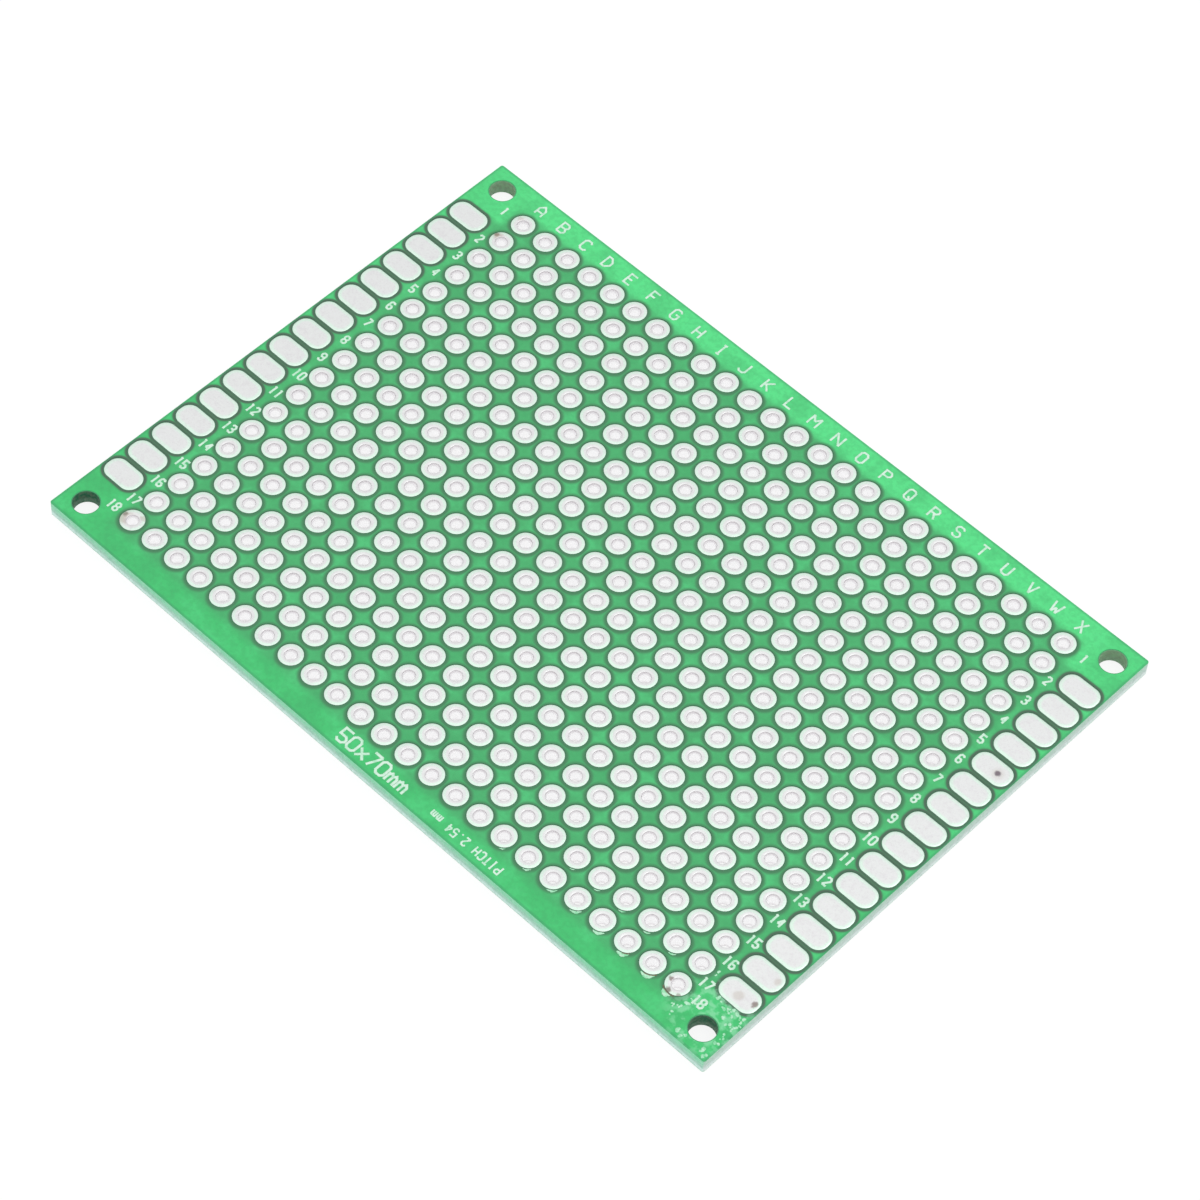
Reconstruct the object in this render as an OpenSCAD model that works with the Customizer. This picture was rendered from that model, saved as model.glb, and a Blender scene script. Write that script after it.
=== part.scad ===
// Double-sided prototype board: a glass-epoxy sheet with a grid of plated through-holes,
// solderable pads along both short ends, a solder mask on each face and a screw hole in each corner.
// The board lies flat, centred on the origin, with its lowest faces at Z = 0.
// X runs along the lettered columns, Y along the numbered rows.

/* [Board] */
// Length along the columns
board_l = 70; // [40:1:75]
// Width across the rows
board_w = 50; // [30:1:70]
// Thickness of the bare glass-epoxy sheet
sheet_t = 1.4; // [0.8:0.1:3]
// Radius of the routed corners
corner_r = 0.2; // [0.1:0.1:1.5]

/* [Hole grid] */
// Distance from hole to hole, both ways
pitch = 2.54; // [2.4:0.02:3]
// Least distance from the middle of the first and last column to the short ends
end_margin = 5.5; // [5.2:0.1:9]
// Least distance from the middle of the first and last row to the long sides
side_margin = 3; // [2.6:0.1:7]
// Clear diameter of a plated hole
hole_d = 1; // [0.7:0.05:1.3]
// Outer diameter of the round land at each mouth of a hole
land_d = 2; // [1.6:0.05:2.15]

/* [End pads] */
// Length of an oblong pad, inwards from the short end
end_pad_l = 3.4; // [2.2:0.1:3.5]
// Width of an oblong pad
end_pad_w = 2.05; // [1.8:0.05:2.15]
// Corner radius of an oblong pad
end_pad_r = 0.9; // [0.3:0.05:0.9]
// Strip left between an oblong pad and the short end
end_pad_inset = 0.3; // [0.2:0.05:0.5]

/* [Layers] */
// Thickness of the tinned copper on the faces
land_t = 0.05; // [0.04:0.01:0.1]
// Thickness of the tinned copper inside the holes
plating_t = 0.05; // [0.03:0.01:0.1]
// Width of the slope where the tin thins out towards the rim of a land
tin_slope_w = 0.15; // [0.05:0.05:0.25]
// Height that the tin falls on that slope
tin_slope_h = 0.02; // [0.01:0.005:0.03]
// Rounding of the plating at the mouth of a hole
mouth_r = 0.04; // [0.02:0.01:0.05]
// Thickness of the solder mask
mask_t = 0.03; // [0.01:0.01:0.04]
// Gap between the mask and the copper, or the rim of a screw hole
mask_gap = 0.08; // [0.05:0.01:0.12]

/* [Screw holes] */
// Diameter of a corner screw hole, a clear fit on an M2 screw
screw_hole_d = 2.2; // [1.8:0.1:2.6]
// Distance from the middle of a screw hole to both edges of its corner
screw_hole_inset = 2; // [1.8:0.1:2.4]

/* [Hidden] */
$fn = 32;
columns = floor((board_l - 2 * end_margin) / pitch) + 1;
rows = floor((board_w - 2 * side_margin) / pitch) + 1;
board_t = sheet_t + 2 * land_t;
sheet_z = land_t;
hole_r = hole_d / 2;
drill_r = hole_r + plating_t;
land_r = land_d / 2;
screw_hole_r = screw_hole_d / 2;
end_pad_x = board_l / 2 - end_pad_inset - end_pad_l / 2;
cut = 1;
mouth_steps = 3;
column_nodes = [for (i = [0 : columns - 1]) str("plated_holes_", column_name(i))];

// The columns run from a to z, and then from aa to zz
function column_name(i) = i < 26 ? chr(97 + i) : str(column_name(floor(i / 26) - 1), chr(97 + i % 26));
function column_x(i) = (i - (columns - 1) / 2) * pitch;
// Row 1 runs along the lettered side, so the rows count down in Y
function row_y(j) = ((rows - 1) / 2 - j) * pitch;

// Rectangle about the origin with round corners
module rounded_plate(l, w, r, t) {
    linear_extrude(t) union() {
        square([l - 2 * r, w], center = true);
        square([l, w - 2 * r], center = true);
        for (x = [-1, 1], y = [-1, 1])
            translate([x * (l / 2 - r), y * (w / 2 - r)]) circle(r);
    }
}

module at_screw_holes() {
    for (x = [-1, 1], y = [-1, 1])
        translate([x * (board_l / 2 - screw_hole_inset), y * (board_w / 2 - screw_hole_inset), 0]) children();
}

module at_column(i) {
    for (j = [0 : rows - 1])
        translate([column_x(i), row_y(j), 0]) children();
}

// The rows between the screw holes each have an oblong pad at both ends
module at_end_pads(side) {
    for (j = [1 : rows - 2])
        translate([side * end_pad_x, row_y(j), 0]) children();
}

module sheet() {
    color("#c9d8bd") translate([0, 0, sheet_z]) difference() {
        rounded_plate(board_l, board_w, corner_r, sheet_t);
        at_screw_holes() drill(screw_hole_r, sheet_t);
        for (i = [0 : columns - 1]) at_column(i) drill(drill_r, sheet_t);
    }
}

// A straight cut through a layer that starts at Z = 0
module drill(r, t) {
    translate([0, 0, -cut]) cylinder(r = r, h = t + 2 * cut);
}

// Each opening follows the copper or the hole that it leaves bare, a mask gap larger all round
module solder_mask(z) {
    color("#3fc070") translate([0, 0, z]) difference() {
        rounded_plate(board_l, board_w, corner_r, mask_t);
        at_screw_holes() drill(screw_hole_r + mask_gap, mask_t);
        for (i = [0 : columns - 1]) at_column(i) drill(land_r + mask_gap, mask_t);
        for (side = [-1, 1]) at_end_pads(side) translate([0, 0, -cut])
            rounded_plate(end_pad_l + 2 * mask_gap, end_pad_w + 2 * mask_gap, end_pad_r + mask_gap,
                mask_t + 2 * cut);
    }
}

module end_pads(side, z) {
    color("#e4e2e0") at_end_pads(side) translate([0, 0, z])
        rounded_plate(end_pad_l, end_pad_w, end_pad_r, land_t);
}

// One quarter round of the plating, from the wall of the hole to the face of the land
function mouth_arc(z, up) = [for (k = [0 : mouth_steps])
    let (a = 90 * k / mouth_steps)
    [hole_r + mouth_r * (1 - cos(a)), z - up * mouth_r * (1 - sin(a))]];

function backwards(list) = [for (k = [len(list) - 1 : -1 : 0]) list[k]];

// Half section of a plated hole: a barrel that lines the drilled hole, with a land on each face
module plated_hole() {
    rotate_extrude() polygon(concat(
        mouth_arc(board_t, 1),
        [[land_r - tin_slope_w, board_t],
         [land_r, board_t - tin_slope_h],
         [land_r, board_t - land_t],
         [drill_r, board_t - land_t],
         [drill_r, land_t],
         [land_r, land_t],
         [land_r, tin_slope_h],
         [land_r - tin_slope_w, 0]],
        backwards(mouth_arc(0, -1))));
}

module plated_hole_column(i) {
    color("#e4e2e0") at_column(i) plated_hole();
}

sheet();
solder_mask(sheet_z + sheet_t);  // solder_mask_top
solder_mask(sheet_z - mask_t);  // solder_mask_bottom
end_pads(-1, sheet_z + sheet_t);  // end_pads_left_top
end_pads(1, sheet_z + sheet_t);  // end_pads_right_top
end_pads(-1, 0);  // end_pads_left_bottom
end_pads(1, 0);  // end_pads_right_bottom
for (i = [0 : columns - 1])
    plated_hole_column(i);
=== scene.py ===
import math
import random

import bpy
from mathutils import Matrix, Vector


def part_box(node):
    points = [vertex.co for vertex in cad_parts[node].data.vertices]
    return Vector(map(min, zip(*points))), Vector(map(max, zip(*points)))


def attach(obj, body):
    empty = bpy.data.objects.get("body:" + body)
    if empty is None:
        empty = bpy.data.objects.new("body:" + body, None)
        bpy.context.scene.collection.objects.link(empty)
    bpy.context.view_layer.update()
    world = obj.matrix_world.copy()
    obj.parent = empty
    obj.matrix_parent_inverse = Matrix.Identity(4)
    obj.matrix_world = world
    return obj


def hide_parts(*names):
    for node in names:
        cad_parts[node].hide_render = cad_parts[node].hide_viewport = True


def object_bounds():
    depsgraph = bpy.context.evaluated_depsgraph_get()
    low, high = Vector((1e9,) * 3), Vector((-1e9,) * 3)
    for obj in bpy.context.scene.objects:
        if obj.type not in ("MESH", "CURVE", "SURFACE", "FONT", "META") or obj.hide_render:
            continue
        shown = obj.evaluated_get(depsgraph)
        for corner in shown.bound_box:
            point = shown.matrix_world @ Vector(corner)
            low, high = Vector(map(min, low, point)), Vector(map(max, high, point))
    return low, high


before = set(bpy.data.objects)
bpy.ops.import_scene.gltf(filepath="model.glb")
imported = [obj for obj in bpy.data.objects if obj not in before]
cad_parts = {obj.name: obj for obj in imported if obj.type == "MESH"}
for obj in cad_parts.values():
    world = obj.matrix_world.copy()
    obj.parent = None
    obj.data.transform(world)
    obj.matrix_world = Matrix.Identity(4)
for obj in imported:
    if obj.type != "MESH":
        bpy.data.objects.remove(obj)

# Camera. It looks down over the board's nearest corner, with the lettered edge at the far
# upper right. Its place and angles were fitted to the board's holes in the photograph.
cad_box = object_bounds()
MM = 0.001
camera_spot = Vector((128.64, -148.85, 273.72)) * MM
camera_azimuth = math.radians(40.712)
camera_elevation = math.radians(54.389)
camera_roll = math.radians(4.078)
camera_data = bpy.data.cameras.new("camera")
camera_data.sensor_width = 36
camera_data.lens = 130.41
camera_data.clip_start = 0.01
camera_data.clip_end = 20
camera = bpy.data.objects.new("camera", camera_data)
turn = (Matrix.Rotation(camera_azimuth, 4, "Z")
        @ Matrix.Rotation(math.pi / 2 - camera_elevation, 4, "X")
        @ Matrix.Rotation(camera_roll, 4, "Z"))
camera.matrix_world = Matrix.Translation(camera_spot) @ turn
bpy.context.scene.collection.objects.link(camera)
bpy.context.scene.camera = camera


# Glass-epoxy sheet. Woven glass cloth in cured resin, pressed flat, drilled, and routed round
# its outline. Where the mask leaves its faces bare they are painted dark, as painted shade in the
# narrow gaps round the copper; its cut edges are pale and fibrous, with painted light at their foot.
sheet_low, sheet_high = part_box("sheet")
board_high = cad_box[1]
half_length = sheet_high.x / MM
half_width = sheet_high.y / MM
screw_inset = 2.0
# The last colour of each three, the foot's, is painted light: paler to make up for the table's shade.
long_edge = ((0.28, 0.78, 0.48), (0.40, 0.72, 0.56), (0.74, 0.97, 0.91))
short_edge = ((0.50, 0.70, 0.59), (0.60, 0.715, 0.67), (0.80, 0.90, 0.88))
# Painted shade: the bare faces in the narrow gaps round the copper are painted dark.
groove_shade_resin = (0.09, 0.24, 0.14)
shaded_near_wall = (0.020, 0.17, 0.085)
lit_far_wall = (0.33, 0.54, 0.34)
pale_fibre = (0.76, 0.93, 0.84)
dark_fibre = (0.24, 0.52, 0.38)
drill_dust = (0.26, 0.30, 0.22)
lit_wall_foot = (0.45, 0.62, 0.50)
hole_rim = (0.09, 0.42, 0.19)


class Finish:
    """A material and short calls that add to its nodes, with lengths in millimetres."""

    def __init__(self, name):
        self.material = bpy.data.materials.new(name)
        self.material.use_nodes = True
        self.nodes = self.material.node_tree.nodes
        self.links = self.material.node_tree.links
        self.shader = self.nodes["Principled BSDF"]

    def feed(self, socket, value):
        if isinstance(value, bpy.types.NodeSocket):
            self.links.new(value, socket)
        elif isinstance(value, (tuple, Vector)) and socket.type == "RGBA":
            socket.default_value = (*value, 1)
        else:
            socket.default_value = value

    def set(self, **values):
        for name, value in values.items():
            self.feed(self.shader.inputs[name.replace("_", " ").title()], value)

    def math(self, operation, *values):
        node = self.nodes.new("ShaderNodeMath")
        node.operation = operation
        for socket, value in zip(node.inputs, values):
            self.feed(socket, value)
        return node.outputs[0]

    def vector(self, operation, *values, out=0):
        node = self.nodes.new("ShaderNodeVectorMath")
        node.operation = operation
        for socket, value in zip(node.inputs, values):
            self.feed(socket, value)
        return node.outputs[out]

    def place(self):
        """Position on the board in millimetres."""
        where = self.nodes.new("ShaderNodeTexCoord").outputs["Object"]
        return self.vector("MULTIPLY", where, (1 / MM, 1 / MM, 1 / MM))

    def split(self, value):
        node = self.nodes.new("ShaderNodeSeparateXYZ")
        self.links.new(value, node.inputs[0])
        return node.outputs

    def ramp(self, value, low, high, start=0.0, end=1.0):
        """Runs smoothly from start to end while the value goes from low to high."""
        node = self.nodes.new("ShaderNodeMapRange")
        node.interpolation_type = "SMOOTHSTEP"
        if low > high:
            low, high, start, end = high, low, end, start
        for socket, number in zip(node.inputs, (value, low, high, start, end)):
            self.feed(socket, number)
        return node.outputs[0]

    def blend(self, amount, a, b, how="MIX"):
        node = self.nodes.new("ShaderNodeMix")
        node.data_type = "RGBA"
        node.blend_type = how
        self.feed(node.inputs[0], amount)
        self.feed(node.inputs[6], a)
        self.feed(node.inputs[7], b)
        return node.outputs[2]

    def noise(self, where, scale, detail=2.0, roughness=0.5):
        node = self.nodes.new("ShaderNodeTexNoise")
        self.links.new(where, node.inputs["Vector"])
        node.inputs["Scale"].default_value = scale
        node.inputs["Detail"].default_value = detail
        node.inputs["Roughness"].default_value = roughness
        return node.outputs[0]

    def bump(self, height, depth_mm, strength=1.0):
        node = self.nodes.new("ShaderNodeBump")
        node.inputs["Strength"].default_value = strength
        node.inputs["Distance"].default_value = depth_mm * MM
        self.links.new(height, node.inputs["Height"])
        self.links.new(node.outputs[0], self.shader.inputs["Normal"])

    def normal(self):
        return self.split(self.nodes.new("ShaderNodeNewGeometry").outputs["Normal"])

    def far_from(self, where, x, y):
        """Distance in the board's plane from a point, in millimetres."""
        flat = self.vector("MULTIPLY", where, (1, 1, 0))
        return self.vector("DISTANCE", flat, (x, y, 0), out=1)


epoxy = Finish("glass_epoxy")
spot = epoxy.place()
x, y, z = epoxy.split(spot)
fibres = epoxy.noise(epoxy.vector("MULTIPLY", spot, (1.5, 1.5, 9)), 1.2, 3)
cloth = epoxy.noise(spot, 3.5, 2)
down_edge = epoxy.ramp(z, sheet_high.z / MM, sheet_low.z / MM)
on_short_edge = epoxy.ramp(epoxy.math("ABSOLUTE", epoxy.normal()[0]), 0.4, 0.9)

# Each side runs from the mask's rim over the bare glass to the foot, which is painted paler:
# painted light that makes up for the table's shade there and stands for light coming through the
# glass.
sides = []
for rim, bare, foot in (long_edge, short_edge):
    upper = epoxy.blend(epoxy.ramp(down_edge, 0.05, 0.55), rim, bare)
    sides.append(epoxy.blend(epoxy.ramp(down_edge, 0.62, 0.95), upper, foot))
edge = epoxy.blend(on_short_edge, *sides)
edge = epoxy.blend(epoxy.ramp(fibres, 0.45, 0.75, 0, 0.4), edge, pale_fibre)
edge = epoxy.blend(epoxy.ramp(cloth, 0.3, 0.55, 0.30, 0), edge, dark_fibre)
corner = epoxy.vector("ABSOLUTE", epoxy.vector("MULTIPLY", spot, (1, 1, 0)))
corner_far = epoxy.far_from(corner, half_length - screw_inset, half_width - screw_inset)
inside_hole = epoxy.ramp(corner_far, 1.35, 1.2)
# Painted light and shade: the screw holes on the near long side get darker walls, those on the far
# side lighter.
drilled_wall = epoxy.blend(epoxy.ramp(y, -1, 1), shaded_near_wall, lit_far_wall)
drilled_wall = epoxy.blend(epoxy.ramp(cloth, 0.35, 0.65, 0, 0.4), drilled_wall, drill_dust)
# Painted light: the screw holes' walls are painted paler towards their foot, by the white table.
drilled_wall = epoxy.blend(epoxy.ramp(down_edge, 0.45, 0.95, 0, 0.35), drilled_wall, lit_wall_foot)
edge = epoxy.blend(inside_hole, edge, drilled_wall)
face = epoxy.blend(epoxy.ramp(corner_far, 1.7, 1.4), groove_shade_resin, hole_rim)
facing = epoxy.math("ABSOLUTE", epoxy.normal()[2])
epoxy.set(Base_color=epoxy.blend(epoxy.ramp(facing, 0.4, 0.6), edge, face), Roughness=0.62)
epoxy.shader.inputs["Specular IOR Level"].default_value = 0.2
epoxy.bump(fibres, 0.03)
sheet_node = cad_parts["sheet"]
sheet_node.data.materials.clear()
sheet_node.data.materials.append(epoxy.material)


# Solder mask. A thin film of green ink, screened on to each face and cured, with openings left
# round the copper. It is painted darker next to the copper and over the field, as painted shade,
# and lighter in the margins, as painted light that comes through the sheet.
column_nodes = sorted(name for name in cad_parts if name.startswith("plated_holes_"))
first_low, first_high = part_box(column_nodes[0])
second_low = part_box(column_nodes[1])[0]
pitch = (second_low.x - first_low.x) / MM
land_r = (first_high.x - first_low.x) / 2 / MM
columns = len(column_nodes)
rows = round((first_high.y - first_low.y - 2 * land_r * MM) / (pitch * MM)) + 1
pad_low, pad_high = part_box("end_pads_left_top")
end_rows = rows - 2
end_pad_l = (pad_high.x - pad_low.x) / MM
end_pad_w = (pad_high.y - pad_low.y) / MM - (end_rows - 1) * pitch
end_pad_x = -(pad_low.x + pad_high.x) / 2 / MM
# Sizes of the drawing that no box of the frame gives
end_pad_r = 0.9
corner_r = 0.2
screw_r = 1.1
mask_gap = 0.08
column_x = [(i - (columns - 1) / 2) * pitch for i in range(columns)]
row_y = [((rows - 1) / 2 - j) * pitch for j in range(rows)]
margin_green = (0.050, 0.590, 0.172)
lit_far_margin_green = (0.096, 0.810, 0.262)
shaded_field_green = (0.062, 0.470, 0.160)
copper_shade_green = (0.055, 0.225, 0.100)
end_pad_shade_green = (0.070, 0.120, 0.085)
bright_cloud = (0.09, 0.76, 0.26)
dark_cloud = (0.04, 0.40, 0.13)
dark_weave = (0.04, 0.36, 0.12)
rim_green = (0.045, 0.30, 0.14)
flux_haze = (0.30, 0.82, 0.46)
flux_x, flux_y = 32.8, -22.0
shade_shift = 0.05
field_shift = 0.25
field_reach = 0.9
round_steps = 36


def arc(cx, cy, r, start, stop, steps):
    """Points along an arc, without its last one."""
    return [(cx + r * math.cos(start + (stop - start) * k / steps),
             cy + r * math.sin(start + (stop - start) * k / steps)) for k in range(steps)]


def round_outline(cx, cy, r):
    return arc(cx, cy, r, 0, 2 * math.pi, round_steps)


def oblong_outline(cx, cy, length, width, r, steps=10):
    """Rectangle with round corners, counter-clockwise from its right side."""
    points = []
    for quarter, (sx, sy) in enumerate(((1, 1), (-1, 1), (-1, -1), (1, -1))):
        start = quarter * math.pi / 2
        centre = (cx + sx * (length / 2 - r), cy + sy * (width / 2 - r))
        points += arc(*centre, r, start, start + math.pi / 2, steps)
        points.append((centre[0] + r * math.cos(start + math.pi / 2),
                       centre[1] + r * math.sin(start + math.pi / 2)))
    return points


def show(name, mesh, finish, slot, *stands_for):
    """Puts a finished piece on the board's one body."""
    mesh.materials.clear()
    mesh.materials.append(finish.material)
    piece = bpy.data.objects.new(name, mesh)
    bpy.context.scene.collection.objects.link(piece)
    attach(piece, "root")
    if stands_for:
        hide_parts(*stands_for)


def mesh_of(curve):
    """The mesh that a curve makes, with the curve itself taken away."""
    holder = bpy.data.objects.new("holder", curve)
    bpy.context.scene.collection.objects.link(holder)
    graph = bpy.context.evaluated_depsgraph_get()
    mesh = bpy.data.meshes.new_from_object(holder.evaluated_get(graph))
    bpy.data.objects.remove(holder)
    return mesh


def film(outlines, low_z, high_z):
    """A flat sheet with openings, cut from closed outlines in millimetres."""
    curve = bpy.data.curves.new("film", "CURVE")
    curve.dimensions = "2D"
    curve.fill_mode = "BOTH"
    curve.extrude = (high_z - low_z) / 2
    for outline in outlines:
        spline = curve.splines.new("POLY")
        spline.points.add(len(outline) - 1)
        for point, (px, py) in zip(spline.points, outline):
            point.co = (px * MM, py * MM, 0, 1)
        spline.use_cyclic_u = True
    mesh = mesh_of(curve)
    mesh.transform(Matrix.Translation((0, 0, (low_z + high_z) / 2)))
    return mesh


mask_outlines = [oblong_outline(0, 0, 2 * half_length, 2 * half_width, corner_r)]
mask_outlines += [round_outline(sx * (half_length - screw_inset), sy * (half_width - screw_inset),
                                screw_r + mask_gap) for sx in (-1, 1) for sy in (-1, 1)]
mask_outlines += [round_outline(cx, cy, land_r + mask_gap) for cx in column_x for cy in row_y]
mask_outlines += [oblong_outline(side * end_pad_x, cy, end_pad_l + 2 * mask_gap,
                                 end_pad_w + 2 * mask_gap, end_pad_r + mask_gap)
                  for side in (-1, 1) for cy in row_y[1:-1]]

mask = Finish("green_mask")
spot = mask.place()
flat = mask.vector("MULTIPLY", spot, (1, 1, 0))
x, y = mask.split(flat)[:2]


def nearest_middle(finish, where, low, high):
    """The middle of the pitch-wide cell that a point is in, kept to the cells that hold copper."""
    cell = finish.vector("FLOOR", finish.vector("DIVIDE", where, (pitch, pitch, 1)))
    cell = finish.vector("MAXIMUM", cell, (*low, 0))
    cell = finish.vector("MINIMUM", cell, (*high, 0))
    return finish.vector("MULTIPLY", finish.vector("ADD", cell, (0.5, 0.5, 0)), (pitch, pitch, 0))


nearest_hole = nearest_middle(mask, flat, (-columns / 2, -rows / 2), (columns / 2 - 1, rows / 2 - 1))
shifted = mask.vector("ADD", nearest_hole, (shade_shift, -shade_shift, 0))
to_land = mask.math("SUBTRACT", mask.vector("DISTANCE", flat, shifted, out=1), land_r)
nearest_pad = nearest_middle(mask, flat, (0, -end_rows / 2), (0, end_rows / 2 - 1))
pad_offset = mask.vector("ABSOLUTE", mask.vector("SUBTRACT", flat, nearest_pad))
end_spot = mask.nodes.new("ShaderNodeCombineXYZ")
out_x = mask.math("ABSOLUTE", x)
out_y = mask.math("ABSOLUTE", y)
mask.links.new(out_x, end_spot.inputs[0])
mask.links.new(mask.split(pad_offset)[1], end_spot.inputs[1])
end_local = mask.vector("ABSOLUTE", mask.vector("SUBTRACT", end_spot.outputs[0], (end_pad_x, 0, 0)))
end_local = mask.vector("SUBTRACT", end_local,
                        (end_pad_l / 2 - end_pad_r, end_pad_w / 2 - end_pad_r, 0))
end_local = mask.vector("MAXIMUM", end_local, (0, 0, 0))
to_end_pad = mask.math("SUBTRACT", mask.vector("LENGTH", end_local, out=1), end_pad_r)
to_copper = mask.math("MINIMUM", to_land, to_end_pad)

# The mask is painted darker over the field of holes and in the bands of the numbers than in the
# margins: painted shade, where the copper on both faces holds back light coming through the sheet.
grid_x = column_x[-1] + field_reach
grid_y = row_y[0] + field_reach
in_field = mask.math("MULTIPLY",
                     mask.ramp(out_x, grid_x + 0.8, grid_x - 0.2),
                     mask.ramp(mask.math("ABSOLUTE", mask.math("ADD", y, field_shift)),
                               grid_y + 0.9, grid_y - 0.1))
in_strip = mask.ramp(to_end_pad, 0.34, 0.18)
in_numbers = mask.math("MULTIPLY",
                       mask.ramp(out_x, end_pad_x, end_pad_x - end_pad_l / 2),
                       mask.ramp(out_y, 20.6, 19.9))
in_numbers = mask.math("MULTIPLY", in_numbers, mask.ramp(out_x, column_x[-1], grid_x))
mottle = mask.noise(flat, 0.35, 3)
weave = mask.noise(flat, 2.4, 3)
# Painted light: the margins are painted lighter towards the far, lettered long edge, a little less
# near the short ends.
margin = mask.blend(mask.ramp(y, row_y[-1], row_y[0]), margin_green, lit_far_margin_green)
margin = mask.blend(mask.ramp(out_x, 30.5, 32.5, 0, 0.4), margin, margin_green)
green = mask.blend(in_field, margin, shaded_field_green)
green = mask.blend(mask.math("MULTIPLY", in_numbers, 0.8), green, shaded_field_green)
green = mask.blend(mask.ramp(mottle, 0.48, 0.66, 0, 0.38), green, bright_cloud)
green = mask.blend(mask.ramp(mottle, 0.52, 0.34, 0, 0.30), green, dark_cloud)
green = mask.blend(mask.ramp(weave, 0.4, 0.62, 0, 0.20), green, dark_weave)
# Painted shade: a darker ring of mask next to the copper, shifted a little to one side.
green = mask.blend(mask.ramp(to_copper, 0.46, 0.10), green, copper_shade_green)
# Painted shade: the narrow strips of mask between the end pads are painted dark.
green = mask.blend(mask.math("MULTIPLY", in_strip, 0.8), green, end_pad_shade_green)
to_rim = mask.math("MINIMUM", mask.math("SUBTRACT", half_length, out_x),
                   mask.math("SUBTRACT", half_width, out_y))
green = mask.blend(mask.ramp(to_rim, 0.26, 0.10, 0, 0.45), green, rim_green)
# A haze of dried flux lies round the near corner of the top face.
dusty = mask.math("MULTIPLY", mask.ramp(mask.far_from(spot, flux_x, flux_y), 4.3, 1.8),
                  mask.ramp(mask.noise(spot, 1.5, 2), 0.44, 0.64, 0, 0.62))
dusty = mask.math("MULTIPLY", dusty, mask.ramp(mask.split(spot)[2], 0.4, 1.1))
green = mask.blend(dusty, green, flux_haze)
mask.set(Base_color=green, Roughness=0.36)
mask.shader.inputs["Specular IOR Level"].default_value = 0.45
mask.bump(mask.noise(spot, 1.4, 3), 0.02, 0.5)

for face in ("top", "bottom"):
    node = "solder_mask_" + face
    low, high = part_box(node)
    show("mask_" + face, film(mask_outlines, low.z, high.z), mask, "solder_mask", node)


# Plated holes. Copper grown through each drilled hole and etched to a round land on both faces,
# then dipped in tin and blown level, so the tin is crowned on the land and thin at its rim.
hole_r = 0.5
drill_r = 0.55
mouth_r = 0.07
mouth_steps = 3
crown_r = 0.72
crown_rings = (0.82, 0.91, 0.97)
crown_fall = 0.026
crown_power = 2.2
mouth_fall = 0.006
most_sag = 0.010
foot_clear = 0.005
wall_depth = 0.50
sharp_edge = math.radians(50)
rim_z = sheet_high.z / MM
top_z = board_high.z / MM
middle_z = (sheet_high.z + sheet_low.z) / 2 / MM
random.seed(24)


def land_section():
    """Radius, height and zone of each ring on the way out of the hole and over the land.

    The zone is -1 deep in the hole, 0 on the flat of the land and 1 at its rim.
    """
    points = [(hole_r, top_z - wall_depth, -1)]
    for step in range(mouth_steps + 1):
        a = math.pi / 2 * step / mouth_steps
        height = top_z - mouth_fall - mouth_r * (1 - math.sin(a))
        points.append((hole_r + mouth_r * (1 - math.cos(a)), height, -0.5 + 0.15 * step))
    for r in (crown_r, *crown_rings, land_r):
        reach = (r - crown_r) / (land_r - crown_r)
        points.append((r, top_z - crown_fall * reach ** crown_power, reach))
    return points


def hole_section():
    """The closed outline that is turned: the land on top, the barrel, and the same land below."""
    top = land_section()
    bottom = [(r, 2 * middle_z - height, share) for r, height, share in reversed(top)]
    return top + [(land_r, rim_z, 1), (drill_r, rim_z, 1), (drill_r, 2 * middle_z - rim_z, 1),
                  (land_r, 2 * middle_z - rim_z, 1)] + bottom


def turned_column(name, cx, ys):
    """One lettered column of plated holes, each turned about its own axis."""
    section = hole_section()
    rings = len(section)
    points, faces, rim = [], [], []
    for cy in ys:
        base = len(points)
        lean = random.uniform(0, 2 * math.pi)
        sag = random.uniform(0, most_sag)
        for r, height, share in section:
            on_land = hole_r + mouth_r < r and abs(height - middle_z) > rim_z - middle_z + foot_clear
            for k in range(round_steps):
                a = 2 * math.pi * k / round_steps
                drop = sag * (1 + math.cos(a - lean)) / 2 if on_land else 0
                z_mm = height - drop if height > middle_z else height + drop
                points.append(((cx + r * math.cos(a)) * MM, (cy + r * math.sin(a)) * MM, z_mm * MM))
                rim.append(share)
        for ring in range(rings):
            after = (ring + 1) % rings
            for k in range(round_steps):
                n = (k + 1) % round_steps
                faces.append((base + ring * round_steps + k, base + after * round_steps + k,
                              base + after * round_steps + n, base + ring * round_steps + n))
    mesh = bpy.data.meshes.new(name)
    mesh.from_pydata(points, [], faces)
    mesh.attributes.new("rim", "FLOAT", "POINT").data.foreach_set("value", rim)
    mesh.shade_smooth()
    mesh.set_sharp_from_angle(angle=sharp_edge)
    return mesh


tin_face = (0.87, 0.885, 0.88)
rim_sheen = (0.80, 1.0, 0.87)
mouth_shade = (0.84, 0.81, 0.83)
brightened_barrel = (0.98, 0.975, 0.985)
stain_tan = (0.50, 0.41, 0.33)
stain_dark = (0.20, 0.13, 0.11)
stain_violet = (0.12, 0.09, 0.15)
dull_skin = (0.74, 0.70, 0.74)
dull_grain = (0.70, 0.66, 0.69)
bright_streak = (0.90, 0.89, 0.91)
barrel_gloss = (0.14, 0.14, 0.14)
tin = Finish("levelled_tin")
spot = tin.place()
on_top = tin.ramp(tin.split(spot)[2], 0.4, 1.1)
zone = tin.nodes.new("ShaderNodeAttribute")
zone.attribute_name = "rim"
at_mouth = tin.ramp(zone.outputs["Fac"], 0.0, -0.35)
in_barrel = tin.ramp(zone.outputs["Fac"], -0.45, -0.9)
skin = tin.noise(spot, 2.4, 4, 0.6)
grain = tin.noise(spot, 9.0, 2, 0.6)
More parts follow.
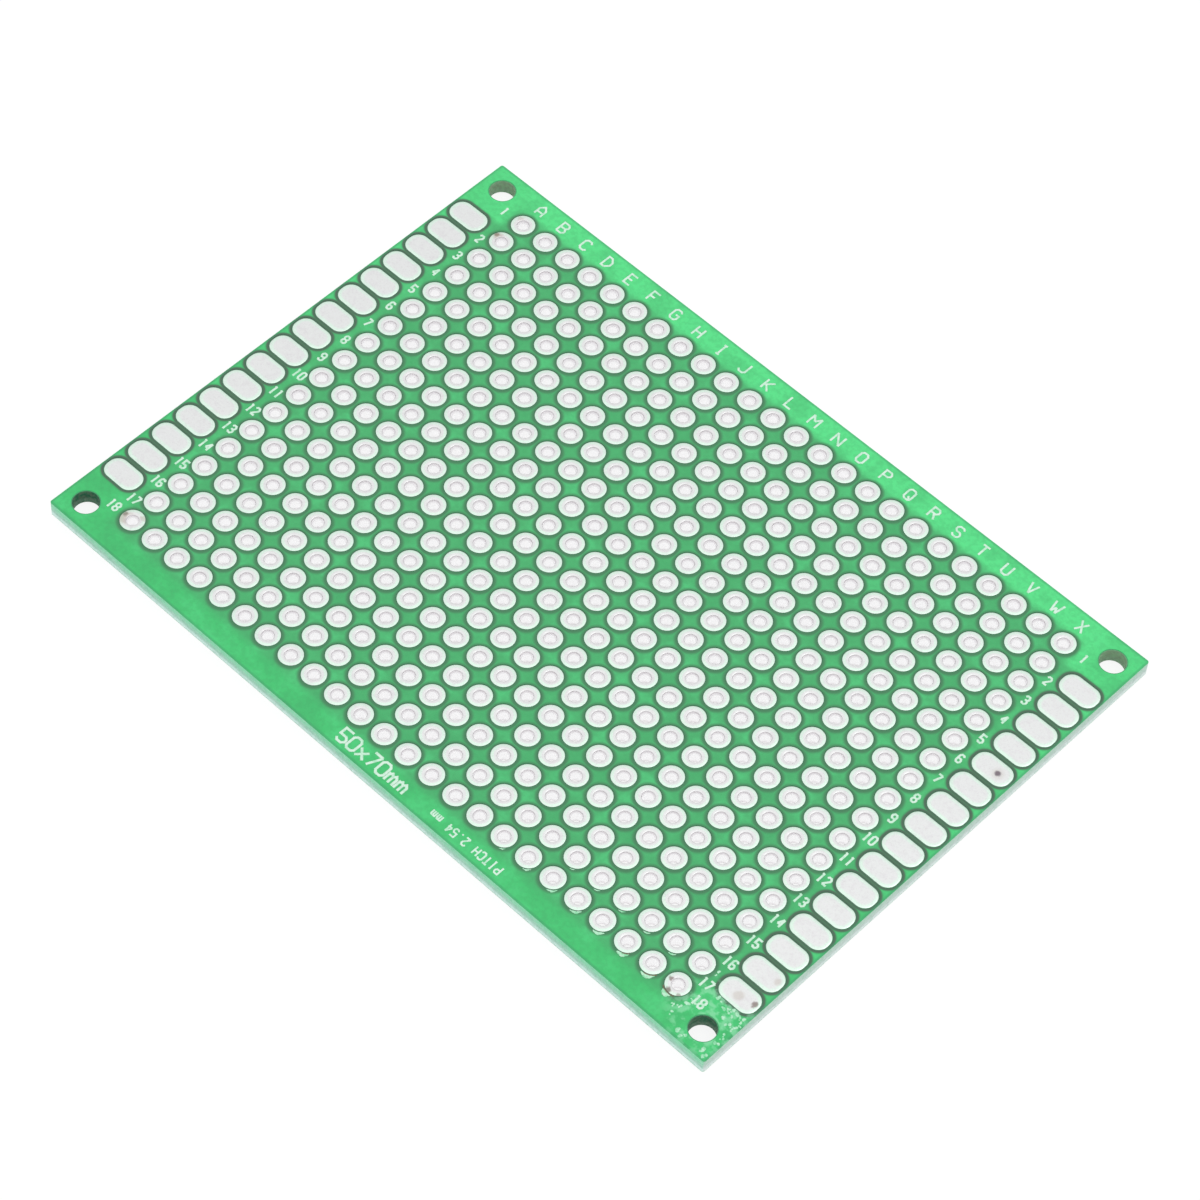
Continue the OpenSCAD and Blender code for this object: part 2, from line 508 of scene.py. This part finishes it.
streaks = tin.noise(tin.vector("MULTIPLY", spot, (0.5, 4, 1)), 1.1, 3)
# Painted sheen: the tin is painted brighter and tinted green towards the rim of each land and pad.
tone = tin.blend(tin.ramp(zone.outputs["Fac"], 0.0, 0.35), tin_face, rim_sheen)
tone = tin.blend(tin.ramp(skin, 0.45, 0.75, 0, 0.35), tone, dull_skin)
tone = tin.blend(tin.ramp(grain, 0.5, 0.7, 0, 0.30), tone, dull_grain)
tone = tin.blend(tin.ramp(streaks, 0.5, 0.7, 0, 0.30), tone, bright_streak)
# Marks left by flux and a hot iron: place on the board, reach, strength, colour
iron_marks = (
    (-29.80, 21.90, 0.25, 0.35, stain_tan), (-29.98, 19.32, 0.16, 0.85, stain_dark),
    (-29.75, 19.25, 0.45, 0.55, stain_tan), (-28.70, -20.95, 0.20, 0.40, stain_tan),
    (-29.76, -21.80, 0.70, 0.50, stain_tan), (-30.05, -21.55, 0.16, 0.60, stain_dark),
    (28.62, -21.59, 0.18, 0.75, stain_dark), (29.02, -22.50, 0.22, 0.80, stain_dark),
    (29.90, -22.30, 0.14, 0.60, stain_dark), (33.56, 8.86, 0.22, 0.90, stain_violet),
    (33.56, 8.86, 0.55, 0.20, stain_tan), (34.30, -18.90, 0.22, 0.75, stain_dark),
    (33.00, -19.20, 0.45, 0.35, stain_tan), (34.20, -16.30, 0.30, 0.35, stain_tan))
for mark_x, mark_y, reach, strength, stain in iron_marks:
    ragged = tin.math("ADD", tin.far_from(spot, mark_x, mark_y), tin.math("MULTIPLY", skin, 0.5))
    mark = tin.ramp(ragged, reach + 0.38, reach * 0.5 + 0.26, 0, strength)
    tone = tin.blend(tin.math("MULTIPLY", mark, on_top), tone, stain)
# Painted shade: the tin is painted darker where it turns down into the hole.
tone = tin.blend(at_mouth, tone, mouth_shade)
# Painted light: the tin inside the barrels is painted brighter than on the lands, so the holes look
# lit.
tin.set(Base_color=tin.blend(in_barrel, tone, brightened_barrel), Metallic=1.0,
        Roughness=tin.blend(in_barrel, tin.ramp(skin, 0.3, 0.7, 0.30, 0.42), barrel_gloss))
tin.bump(grain, 0.010, 0.8)
for i, node in enumerate(column_nodes):
    mesh = turned_column(node, column_x[i], row_y)
    show("tinned_column_" + node[-1], mesh, tin, "tin", node)


# End pads. Oblong lands of the same tinned copper, along both short ends of each face, for a
# connector or a wire. The tin stands a little crowned on each and thins at the rim.
crown_steps = ((0.0, 0.0, 1.0), (0.0, 0.30, 1.0), (0.03, 0.55, 0.85), (0.08, 0.75, 0.65),
               (0.16, 0.90, 0.4), (0.28, 0.97, 0.15), (0.45, 1.0, 0.0), (0.75, 1.0, 0.0))


def pad_row(name, side, face, ys):
    """All the end pads at one end of one face.

    A pad is built of rings, from its foot to its flat middle. Each has its inset, its share of the
    tin's height and its share of the rim.
    """
    points, faces, rim = [], [], []
    tin_t = top_z - rim_z
    for cy in ys:
        rings, pad_faces = [], []
        for inset, share, rim_share in crown_steps:
            outline = oblong_outline(side * end_pad_x, cy, end_pad_l - 2 * inset,
                                     end_pad_w - 2 * inset, end_pad_r - inset)
            rings.append(range(len(points), len(points) + len(outline)))
            height = rim_z + tin_t * share
            for px, py in outline:
                z_mm = height if face == "top" else 2 * middle_z - height
                points.append((px * MM, py * MM, z_mm * MM))
                rim.append(rim_share)
        for inner, outer in zip(rings[1:], rings):
            count = len(outer)
            for k in range(count):
                n = (k + 1) % count
                pad_faces.append((outer[k], outer[n], inner[n], inner[k]))
        pad_faces.append(tuple(rings[-1]))
        pad_faces.append(tuple(reversed(rings[0])))
        if face == "bottom":
            pad_faces = [tuple(reversed(corners)) for corners in pad_faces]
        faces += pad_faces
    mesh = bpy.data.meshes.new(name)
    mesh.from_pydata(points, [], faces)
    mesh.attributes.new("rim", "FLOAT", "POINT").data.foreach_set("value", rim)
    mesh.shade_smooth()
    mesh.set_sharp_from_angle(angle=sharp_edge)
    return mesh


for word, side in (("left", -1), ("right", 1)):
    for face in ("top", "bottom"):
        node = f"end_pads_{word}_{face}"
        show("tinned_" + node, pad_row(node, side, face, row_y[1:-1]), tin, "tin", node)


# Legend. White ink screened over the mask, drawn with one round pen: column letters along one
# long edge, row numbers at both short ends, and a plain size and hole pitch on the other edge.
# A sign is drawn on a grid 4 wide and 6 high: two digits for each point, a bar between strokes.
glyphs = {
    "A": "00 04 26 44 40|02 42", "B": "00 06 36 45 44 33 03|33 42 41 30 00",
    "C": "45 36 16 05 01 10 30 41", "D": "00 06 26 44 42 20 00", "E": "46 06 00 40|03 33",
    "F": "46 06 00|03 33", "G": "45 36 16 05 01 10 30 41 43 23", "H": "00 06|40 46|03 43",
    "I": "10 30|20 26|16 36", "J": "01 10 30 41 46", "K": "00 06|46 02|13 40", "L": "06 00 40",
    "M": "00 06 23 46 40", "N": "00 06 40 46", "O": "10 01 05 16 36 45 41 30 10",
    "P": "00 06 36 45 44 33 03", "Q": "10 01 05 16 36 45 41 30 10|22 40",
    "R": "00 06 36 45 44 33 03|23 40", "S": "45 36 16 05 04 13 33 42 41 30 10 01",
    "T": "06 46|26 20", "U": "06 01 10 30 41 46", "V": "06 20 46", "W": "06 10 23 30 46",
    "X": "00 46|06 40", "0": "10 01 05 16 36 45 41 30 10", "1": "15 26 20|10 30",
    "2": "05 16 36 45 44 00 40", "3": "05 16 36 45 44 33 13|33 42 41 30 10 01",
    "4": "30 36 02 42", "5": "46 06 03 33 42 41 30 10 01", "6": "45 36 16 05 01 10 30 41 42 33 03",
    "7": "06 46 10", "8": "13 04 05 16 36 45 44 33 13 02 01 10 30 41 42 33",
    "9": "01 10 30 41 45 36 16 05 04 13 43", ".": "20 21", "x": "00 44|04 40",
    "m": "00 04|03 14 23 20|23 34 43 40", " ": "",
}
letter_y = 23.75
letter_h = 1.08
letter_w = 0.66
wide_letter_w = 0.80
number_x = 30.65
end_number_x = 31.3
number_drop = 1.05
number_h = 0.80
number_w = 0.38
number_gap = 0.20
small_pen = 0.205
sharpest_turn = math.radians(100)
ink_sunk = 0.002
ink_below_lands = 0.001
ink_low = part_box("solder_mask_top")[1].z - ink_sunk * MM
ink_high = board_high.z - ink_below_lands * MM
ink_white = (0.72, 0.96, 0.80)
ink_worn = (0.40, 0.84, 0.54)


def marks(words, cx, cy, cap, width, gap, pen, turned=False):
    """Strokes of a run of signs about a middle point, each sign of one height and width."""
    strokes = []
    start = -(len(words) * (width + gap) - gap) / 2
    for place, sign in enumerate(words):
        for stroke in filter(None, glyphs[sign].split("|")):
            points = [(start + place * (width + gap) + int(p[0]) * width / 4,
                       int(p[1]) * cap / 6 - cap / 2) for p in stroke.split()]
            if turned:
                points = [(-px, -py) for px, py in points]
            strokes.append(([(cx + px, cy + py) for px, py in points], pen))
    return strokes


legend = []
for i, cx in enumerate(column_x):
    letter = chr(ord("A") + i)
    width = wide_letter_w if letter in "MNW" else letter_w
    legend += marks(letter, cx, letter_y, letter_h, width, 0, small_pen)
for j, cy in enumerate(row_y):
    at_end = j in (0, rows - 1)
    for side in (-1, 1):
        number_at = side * (end_number_x if at_end else number_x)
        number_y = cy if at_end else cy - number_drop
        legend += marks(str(j + 1), number_at, number_y, number_h, number_w, number_gap,
                        small_pen)
legend += marks("50x70mm", cx=-0.12, cy=-23.83, cap=1.26, width=0.80, gap=0.24, pen=0.25)
legend += marks("PITCH 2.54 mm", cx=9.8, cy=-24.0, cap=0.74, width=0.38, gap=0.19, pen=0.165,
                turned=True)


def turn_at(before, here, after):
    """How far a line turns at a point, in radians."""
    into = Vector(here) - Vector(before)
    out_of = Vector(after) - Vector(here)
    return into.angle(out_of)


def turns_along(points, closed):
    """The turn at each point of a line. An open line has none at its ends."""
    count = len(points)
    return [turn_at(points[k - 1], points[k], points[(k + 1) % count])
            if closed or 0 < k < count - 1 else 0 for k in range(count)]


def cut_at_sharp_turns(points, pen):
    """Cuts a line where it turns back sharply, so that the pen keeps its width there."""
    if isinstance(pen, list) or len(points) < 3:
        return [points]
    parts = [[points[0]]]
    for k in range(1, len(points)):
        parts[-1].append(points[k])
        if k < len(points) - 1 and turn_at(*points[k - 1:k + 2]) > sharpest_turn:
            parts.append([points[k]])
    return parts


def printed(strokes):
    """Raised lines with flat feet, drawn with a round pen of one width or of a width at each point."""
    curve = bpy.data.curves.new("ink", "CURVE")
    curve.dimensions = "3D"
    curve.bevel_depth = 1.0
    curve.bevel_resolution = 1
    curve.use_fill_caps = True
    lines = [(part, pen) for points, pen in strokes for part in cut_at_sharp_turns(points, pen)]
    for number, (points, pen) in enumerate(lines):
        closed = points[0] == points[-1]
        points = points[:-1] if closed else points
        spline = curve.splines.new("POLY")
        spline.points.add(len(points) - 1)
        spline.use_cyclic_u = closed
        pens = pen if isinstance(pen, list) else [pen] * len(points)
        # Neighbouring lines differ a touch in height, so that two never share a face.
        lift = 1 + 0.02 * (number % 5)
        turns = turns_along(points, closed)
        for point, (px, py), width, turn in zip(spline.points, points, pens, turns):
            point.co = (px * MM, py * MM, 0, 1)
            point.radius = width / 2 / math.cos(turn / 2) * lift * MM
    mesh = mesh_of(curve)
    tallest = max(v.co.z for v in mesh.vertices)
    for v in mesh.vertices:
        v.co.z = ink_low + (ink_high - ink_low) * max(0, v.co.z) / tallest
    mesh.shade_smooth()
    return mesh


ink = Finish("white_ink")
spot = ink.place()
wear = ink.noise(spot, 3.0, 3)
ink.set(Base_color=ink.blend(ink.ramp(wear, 0.42, 0.68, 0, 0.7), ink_white, ink_worn),
        Roughness=0.6)
ink.bump(wear, 0.01)
show("legend_top", printed(legend), ink, "print")
underneath = printed(legend)
underneath.transform(Matrix.Translation((0, 0, board_high.z)) @ Matrix.Rotation(math.pi, 4, "Y"))
show("legend_bottom", underneath, ink, "print")


# Flux residue. Dried crumbs and smears of soldering flux round the near corner, where the board
# was handled and soldered last: pale caps below the last rows' lands and three scorched rims.
flux_green = (0.25, 0.76, 0.40)
flux_pale = (0.56, 0.92, 0.67)
char_black = (0.10, 0.07, 0.04)
char_brown = (0.30, 0.26, 0.16)
crumb_shares = ((-1, 0.4), (-0.5, 0.85), (0, 1.0), (0.5, 0.85), (1, 0.35))
cap_steps = 9


def crumb(x, y, size, stretch=1.0, along=None):
    """A small lump that swells in its middle, kept on the board.

    Stretch is its length against its width, and along is its direction.
    """
    x = min(x, half_length - size)
    y = max(y, size - half_width)
    a = random.uniform(0, math.pi) if along is None else along + random.uniform(-0.3, 0.3)
    reach = size * stretch * random.uniform(0.35, 0.6)
    return ([(x + reach * t * math.cos(a), y + reach * t * math.sin(a)) for t, w in crumb_shares],
            [size * w for t, w in crumb_shares])


def smear(x0, y0, x1, y1, size, steps=5):
    """A broken line of crumbs that wanders a little."""
    crumbs = []
    for k in range(steps):
        t = (k + random.uniform(0, 0.8)) / steps
        crumbs.append(crumb(x0 + (x1 - x0) * t + random.uniform(-0.7, 0.7) * size,
                            y0 + (y1 - y0) * t + random.uniform(-0.7, 0.7) * size,
                            size * random.uniform(0.6, 1.2)))
    return crumbs


def cap_below(cx, cy, start, stop, size):
    """Crumbs run together along the foot of a land, between two angles in degrees."""
    crumbs = []
    for k in range(cap_steps):
        a = math.radians(start + (stop - start) * (k + random.uniform(0.2, 0.8)) / cap_steps)
        thick = size * (1.15 - abs(k - cap_steps // 2) / 6)
        r = land_r + 0.09 + thick * random.uniform(0.35, 0.55)
        crumbs.append(crumb(cx + r * math.cos(a), cy + r * math.sin(a), thick, 1.3, a + math.pi / 2))
    return crumbs


# Each smear's two ends, width and number of crumbs
smears = (
    (30.49, -22.88, 30.8, -22.34, 0.3, 3), (30.73, -22.34, 30.78, -21.99, 0.25, 2),
    (31.65, -24.36, 32.32, -24.78, 0.36, 4), (32.31, -24.2, 32.58, -24.23, 0.23, 2),
    (30.39, -23.49, 30.48, -23.85, 0.2, 3), (33.86, -24.54, 34.55, -24.29, 0.36, 3),
    (34.46, -24.59, 34.87, -24.69, 0.3, 2), (34.5, -23.38, 34.52, -23.07, 0.27, 2),
    (34.54, -22.83, 34.61, -22.25, 0.23, 4), (33.37, -21.38, 34.08, -21.54, 0.29, 4),
    (34.29, -21.7, 34.74, -21.46, 0.23, 4), (34.6, -21.36, 34.75, -20.79, 0.2, 5),
    (31.84, -20.34, 32.39, -20.6, 0.3, 3), (32.52, -20.61, 33.23, -20.63, 0.25, 5),
    (33.09, -20.62, 33.87, -20.73, 0.25, 5), (33.45, -20.41, 34.43, -20.6, 0.25, 6),
    (34.1, -20.51, 34.65, -20.44, 0.27, 4), (34.4, -20.75, 34.75, -20.66, 0.21, 3),
    (34.6, -24.6, 34.75, -24.7, 0.21, 3), (30.59, -19.14, 30.56, -18.58, 0.18, 5),
    (29.94, -23.21, 30.5, -23.01, 0.23, 4), (30.7, -21.71, 31.18, -21.89, 0.21, 4))
# Start, stop and width of the caps below the last row's lands, from the near corner on
last_row_caps = ((-112, -82, 0.36), (-95, -42, 0.34), (-88, -45, 0.32), (-85, -42, 0.26),
                 (-76, -32, 0.22), (-72, -30, 0.18), (-70, -35, 0.14), (-66, -40, 0.11))
next_row_caps = (0.16, 0.14, 0.13, 0.11, 0.09)
random.seed(18)
flux_crumbs = []
for ends in smears:
    flux_crumbs += smear(*ends)
for back, (start, stop, size) in enumerate(last_row_caps):
    flux_crumbs += cap_below(column_x[-1 - back], row_y[-1], start, stop, size)
for back, size in enumerate(next_row_caps, 1):
    flux_crumbs += cap_below(column_x[-1 - back], row_y[-2], -80, -50, size)
flux = Finish("dry_flux")
spot = flux.place()
lumps = flux.noise(spot, 3.0, 3)
flux.set(Base_color=flux.blend(flux.ramp(lumps, 0.35, 0.65), flux_green, flux_pale), Roughness=0.5)
flux.bump(lumps, 0.02)
show("flux_crumbs", printed(flux_crumbs), flux, "flux_residue")

scorched = Finish("scorched_flux")
spot = scorched.place()
scorched.set(Base_color=scorched.blend(scorched.noise(spot, 4.0, 3), char_black, char_brown),
             Roughness=0.45)
burn_w = 0.10
burns = []
for cx, start, stop in ((column_x[-1], -130, -55), (column_x[-2], -85, -25), (column_x[-3], -70, -35)):
    rim = arc(cx, row_y[-1], land_r + burn_w, math.radians(start), math.radians(stop), 9)
    burns.append((rim, burn_w))
show("flux_scorches", printed(burns), scorched, "flux_residue")


# Stage. A white table top under plain soft light from all round and a wide lamp above. The
# camera and bright metal see the table as white, and it keeps the board's shadow.
table_size = 3
table_lit = (0.90, 0.90, 0.90)
table_seen = (0.19, 0.19, 0.19)
table_glow = 0.85
bpy.ops.mesh.primitive_plane_add(size=table_size)
table_top = bpy.context.object
table_top.name = "table_top"
white = Finish("white_table")
seen = white.nodes.new("ShaderNodeLightPath")
shown = white.math("MAXIMUM", seen.outputs["Is Camera Ray"], seen.outputs["Is Glossy Ray"])
white.set(Base_color=white.blend(shown, table_lit, table_seen), Roughness=0.9)
white.feed(white.shader.inputs["Specular IOR Level"], 0.0)
white.feed(white.shader.inputs["Emission Color"], (1.0, 1.0, 1.0))
white.feed(white.shader.inputs["Emission Strength"], white.math("MULTIPLY", shown, table_glow))
table_top.data.materials.append(white.material)

world = bpy.data.worlds.new("soft_room")
bpy.context.scene.world = world
world.use_nodes = True
room = world.node_tree.nodes
upward = room.new("ShaderNodeSeparateXYZ")
world.node_tree.links.new(room.new("ShaderNodeTexCoord").outputs["Generated"], upward.inputs[0])
# The room grows a little brighter overhead, and the camera sees it as white.
side_glow, top_glow = 0.82, 1.02
overhead = room.new("ShaderNodeMapRange")
for socket, number in zip(list(overhead.inputs)[1:5], (0.70, 0.90, side_glow, top_glow)):
    socket.default_value = number
world.node_tree.links.new(upward.outputs["Z"], overhead.inputs[0])
behind = room.new("ShaderNodeMath")
behind.operation = "MAXIMUM"
world.node_tree.links.new(overhead.outputs[0], behind.inputs[0])
world.node_tree.links.new(room.new("ShaderNodeLightPath").outputs["Is Camera Ray"], behind.inputs[1])
world.node_tree.links.new(behind.outputs[0], room["Background"].inputs["Strength"])
room["Background"].inputs["Color"].default_value = (1.0, 1.0, 1.0, 1)
lamp_data = bpy.data.lights.new("wide_lamp", "AREA")
lamp_data.size = 0.4
lamp_data.energy = 0.35
lamp = bpy.data.objects.new("wide_lamp", lamp_data)
lamp.location = (0.25, 0.20, 0.55)
lamp.rotation_euler = (-lamp.location).to_track_quat("-Z", "Y").to_euler()
bpy.context.scene.collection.objects.link(lamp)
bpy.context.scene.view_settings.view_transform = "Standard"
